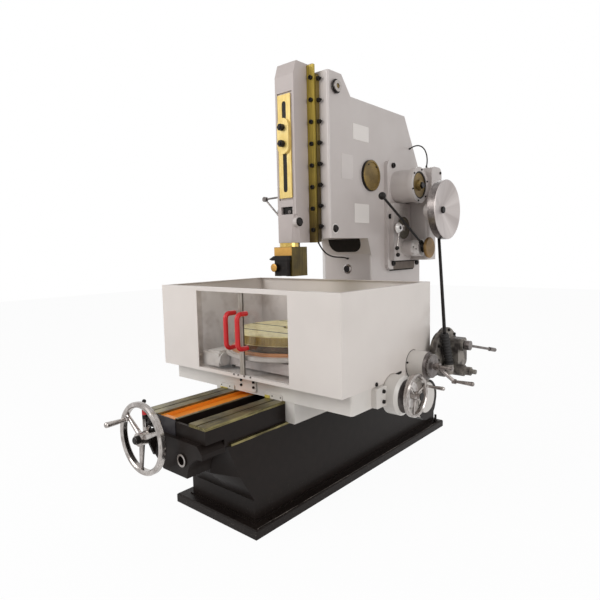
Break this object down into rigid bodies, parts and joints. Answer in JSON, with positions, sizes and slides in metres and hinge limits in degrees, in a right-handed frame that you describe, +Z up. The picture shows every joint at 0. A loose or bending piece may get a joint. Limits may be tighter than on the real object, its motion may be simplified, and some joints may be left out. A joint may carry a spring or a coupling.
{
  "type": "vertical slotting machine with a rotary table",
  "caption": "Floor-standing vertical slotting machine: ram on an overhanging column, guarded rotary table on a long bed, and handwheels for its feeds.",
  "frame": {"origin": "on the floor under the foot plate, in the machine's middle plane, below the ram's face", "axes": "X to the operator's right, Y from the front handwheel back to the column, Z up"},
  "size_m": [1.541, 2.262, 2.245],
  "materials": {
    "machine_grey": "gloss",
    "guard_white": "gloss",
    "bed_black": "gloss",
    "trough_orange": "gloss",
    "ground_steel": "ground",
    "gold_steel": "ground, pale gold preservative film",
    "polished_steel": "polished",
    "dark_oxide": "black oxide",
    "raw_casting": "as cast",
    "cover_brass": "turned",
    "handle_red": "gloss",
    "door_glass": "clear",
    "boot_rubber": "matte"
  },
  "bodies": {
    "base": {"bed_casting": "bed_black", "bed_ways": "ground_steel", "chip_trough": "trough_orange", "front_gear_block": "bed_black", "clutch_lever": "polished_steel", "column_casting": "machine_grey", "ram_seat": "gold_steel", "ram_keepers": "gold_steel", "seat_pivot": "machine_grey", "cover_discs": "cover_brass", "feed_box": "machine_grey", "drive_head": "machine_grey", "oil_pipes": "dark_oxide"},
    "ram": {"ram_casting": "machine_grey", "stroke_plate": "gold_steel", "stroke_clamp": "gold_steel", "stroke_nuts": "dark_oxide", "tool_block": "gold_steel", "tool_clamp": "dark_oxide", "oil_rod": "polished_steel"},
    "saddle": {"saddle_casting": "guard_white", "way_wipers": "guard_white", "saddle_front_plate": "guard_white", "guard_front": "guard_white", "guard_left": "guard_white", "guard_right": "guard_white", "guard_back": "guard_white", "guard_floor": "guard_white", "door_tracks": "guard_white", "cross_feed_drum": "guard_white", "lower_drum_cap": "bed_black", "table_turn_drum": "guard_white", "feed_gearbox": "raw_casting", "drive_shaft": "dark_oxide", "shaft_boot": "boot_rubber"},
    "left_door": {"left_door_glass": "door_glass", "left_door_stile": "ground_steel", "left_door_handle": "handle_red"},
    "right_door": {"right_door_glass": "door_glass", "right_door_stile": "ground_steel", "right_door_handle": "handle_red"},
    "cross": {"cross_slide": "machine_grey", "table_base": "guard_white", "table_cover_ring": "trough_orange"},
    "table": {"rotary_table": "gold_steel"},
    "front_wheel": {"front_handwheel": "polished_steel"},
    "side_wheel": {"side_handwheel": "polished_steel"},
    "crank": {"table_crank": "polished_steel"},
    "gear_lever": {"gearbox_lever": "polished_steel"},
    "dish": {"dish_handwheel": "polished_steel"},
    "long_lever": {"feed_lever": "dark_oxide", "feed_knob": "cover_brass"},
    "selector": {"speed_selector": "polished_steel"}
  },
  "joints": [
    {"name": "ram_slide", "type": "slide", "parent": "base", "child": "ram", "axis": [0, 0, 1], "range_m": [-0.21, 0.11]},
    {"name": "saddle_slide", "type": "slide", "parent": "base", "child": "saddle", "axis": [0, 1, 0], "range_m": [-0.29, 0.12]},
    {"name": "cross_slide", "type": "slide", "parent": "saddle", "child": "cross", "axis": [1, 0, 0], "range_m": [-0.24, 0.24]},
    {"name": "table_spin", "type": "hinge", "parent": "cross", "child": "table", "pos_m": [0, -0.005, 0.78], "axis": [0, 0, 1], "continuous": true},
    {"name": "left_door_slide", "type": "slide", "parent": "saddle", "child": "left_door", "axis": [1, 0, 0], "range_m": [-0.265, 0]},
    {"name": "right_door_slide", "type": "slide", "parent": "saddle", "child": "right_door", "axis": [1, 0, 0], "range_m": [0, 0.26]},
    {"name": "front_wheel_spin", "type": "hinge", "parent": "base", "child": "front_wheel", "pos_m": [-0.12, -0.88, 0.457], "axis": [0, 1, 0], "continuous": true},
    {"name": "side_wheel_spin", "type": "hinge", "parent": "saddle", "child": "side_wheel", "pos_m": [0.733, 0.025, 0.586], "axis": [1, 0, 0], "continuous": true},
    {"name": "crank_spin", "type": "hinge", "parent": "saddle", "child": "crank", "pos_m": [0.748, 0.2, 0.692], "axis": [1, 0, 0], "continuous": true},
    {"name": "gear_lever_swing", "type": "hinge", "parent": "saddle", "child": "gear_lever", "pos_m": [0.774, 0.48, 0.757], "axis": [1, 0, 0], "range_deg": [-15, 15]},
    {"name": "dish_spin", "type": "hinge", "parent": "base", "child": "dish", "pos_m": [0.532, 0.8, 1.488], "axis": [1, 0, 0], "continuous": true},
    {"name": "long_lever_swing", "type": "hinge", "parent": "base", "child": "long_lever", "pos_m": [0.367, 0.84, 1.268], "axis": [1, 0, 0], "range_deg": [-20, 20]},
    {"name": "selector_swing", "type": "hinge", "parent": "base", "child": "selector", "pos_m": [0.25, 0.798, 1.396], "axis": [1, 0, 0], "range_deg": [-90, 10]}
  ]
}
